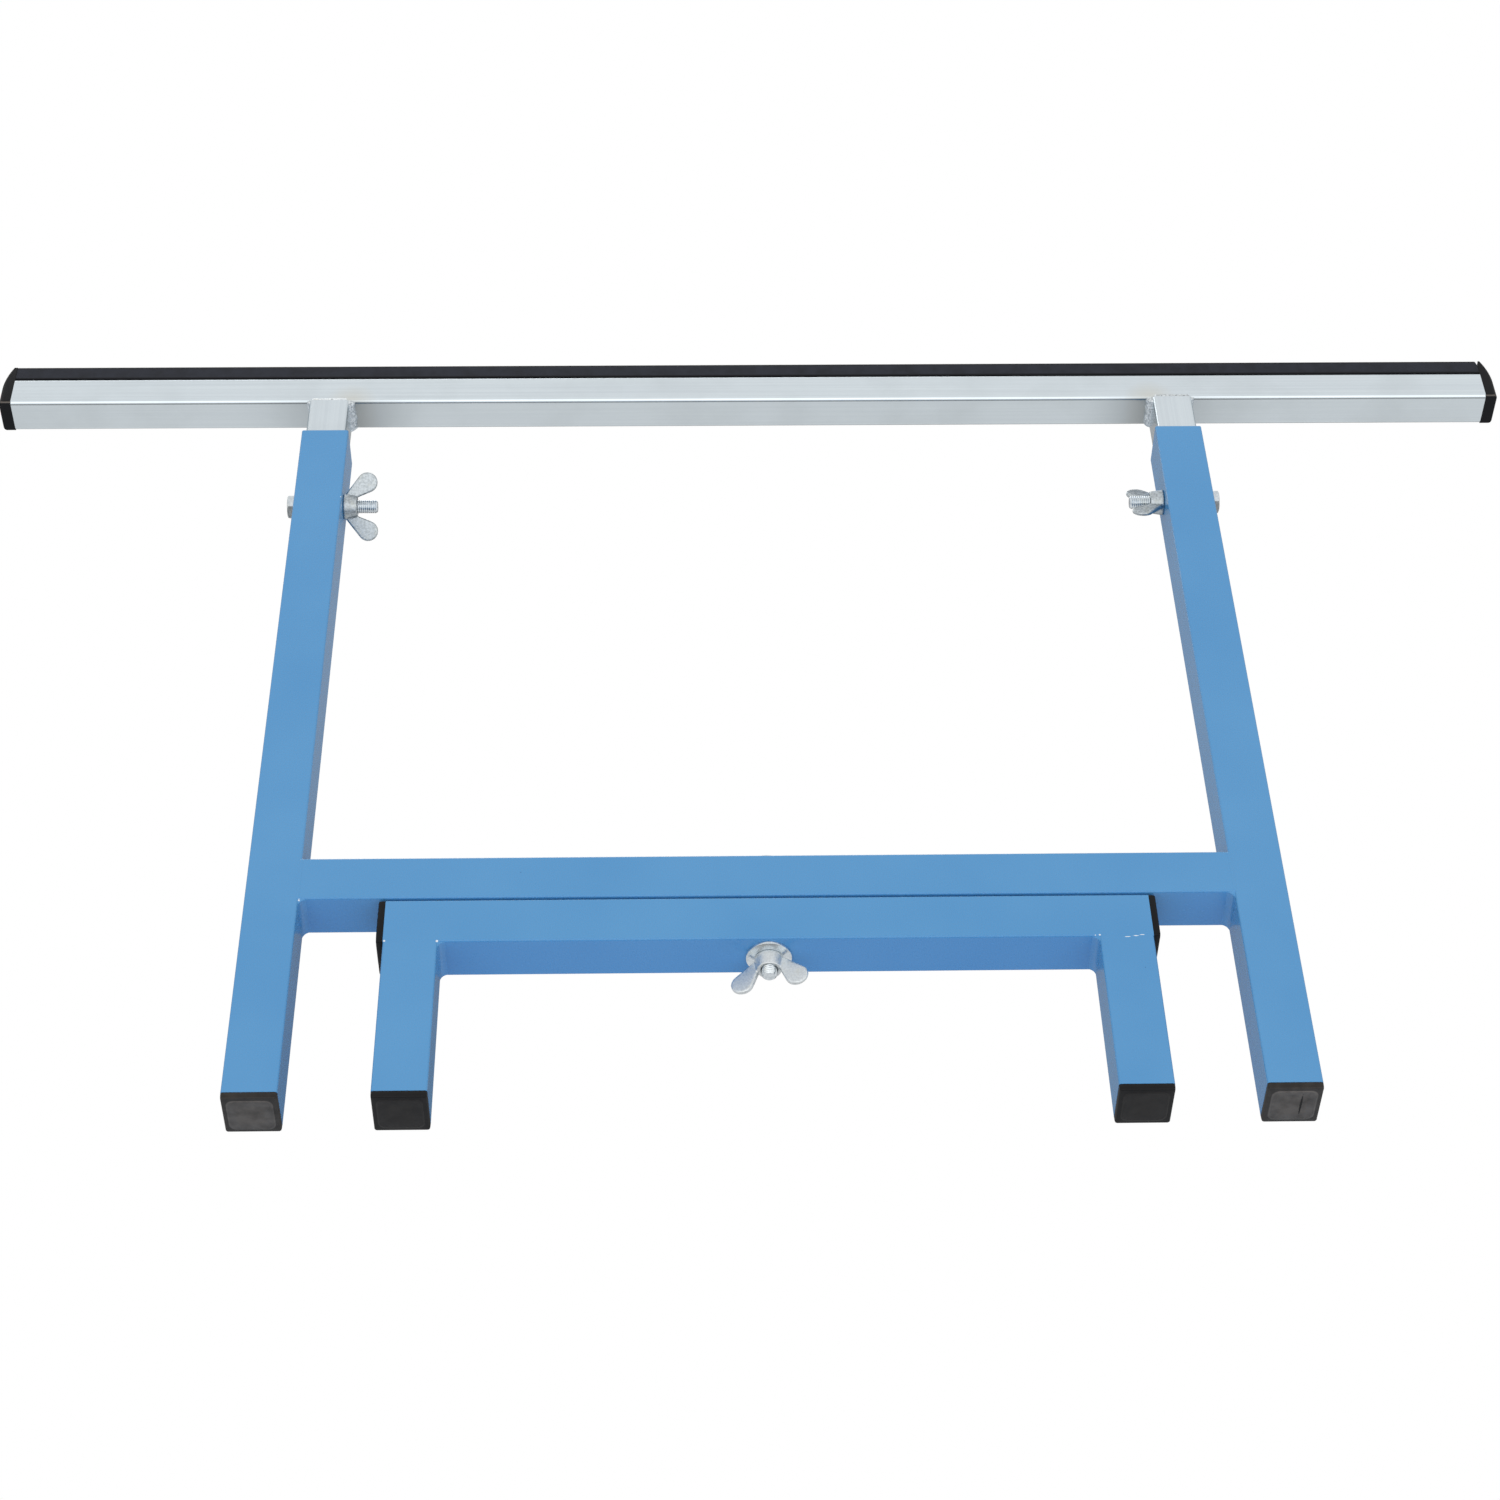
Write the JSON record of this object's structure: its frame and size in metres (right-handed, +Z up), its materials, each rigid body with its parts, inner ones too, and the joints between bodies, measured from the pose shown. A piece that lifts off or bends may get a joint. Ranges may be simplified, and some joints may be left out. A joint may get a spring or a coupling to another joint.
{
  "type": "builders trestle",
  "caption": "Height-adjustable work trestle: a rail on stubs telescopes in a welded tube frame, bolts with wing nuts clamp it, and a swivelling U-foot turns across the frame to stand.",
  "frame": {"origin": "on the floor under the middle of the trestle, with the top at its lowest setting and the foot in line with the frame", "axes": "+Z up, +X along the rail to the right, -Y towards the front"},
  "size_m": [1.148, 0.0388, 0.711],
  "materials": {
    "blue_powder_coat": "light blue powder coat on steel tube, satin",
    "galvanised_steel": "zinc-coated steel tube, bright with faint streaks",
    "zinc_hardware": "zinc-plated fasteners, slightly dull",
    "black_plastic": "black moulded polyethylene, worn grey where it meets the ground",
    "black_strip": "black extruded rubber, satin, with a darker line along its edges"
  },
  "bodies": {
    "main_frame": {"upright_left": "blue_powder_coat", "upright_right": "blue_powder_coat", "crossbar": "blue_powder_coat", "frame_welds": "blue_powder_coat", "leg_plug_left": "black_plastic", "leg_plug_right": "black_plastic", "height_bolt_left": "zinc_hardware", "height_bolt_right": "zinc_hardware", "pivot_bolt": "zinc_hardware", "pivot_head_washer": "zinc_hardware"},
    "top": {"rail": "galvanised_steel", "stub_left": "galvanised_steel", "stub_right": "galvanised_steel", "rail_welds": "galvanised_steel", "top_strip": "black_strip", "end_cap_left": "black_plastic", "end_cap_right": "black_plastic"},
    "cross_foot": {"foot_bar": "blue_powder_coat", "foot_leg_left": "blue_powder_coat", "foot_leg_right": "blue_powder_coat", "foot_welds": "blue_powder_coat", "bar_plug_left": "black_plastic", "bar_plug_right": "black_plastic", "foot_plug_left": "black_plastic", "foot_plug_right": "black_plastic", "pivot_washer": "zinc_hardware", "spacer_washer": "zinc_hardware"},
    "left_nut": {"wing_nut_left": "zinc_hardware"},
    "right_nut": {"wing_nut_right": "zinc_hardware"},
    "pivot_nut": {"pivot_wing_nut": "zinc_hardware"}
  },
  "joints": [
    {"name": "top_height", "type": "slide", "parent": "main_frame", "child": "top", "axis": [0, 0, 1], "range_m": [0, 0.4]},
    {"name": "foot_swivel", "type": "hinge", "parent": "main_frame", "child": "cross_foot", "pos_m": [0, 0, 0.1425], "axis": [0, 0, 1], "range_deg": [-90, 90]},
    {"name": "left_nut_turn", "type": "hinge", "parent": "main_frame", "child": "left_nut", "pos_m": [-0.305, 0, 0.563], "axis": [1, 0, 0], "continuous": true},
    {"name": "right_nut_turn", "type": "hinge", "parent": "main_frame", "child": "right_nut", "pos_m": [0.305, 0, 0.563], "axis": [-1, 0, 0], "continuous": true},
    {"name": "pivot_nut_turn", "type": "hinge", "parent": "main_frame", "child": "pivot_nut", "pos_m": [0, 0, 0.1225], "axis": [0, 0, -1], "continuous": true}
  ]
}
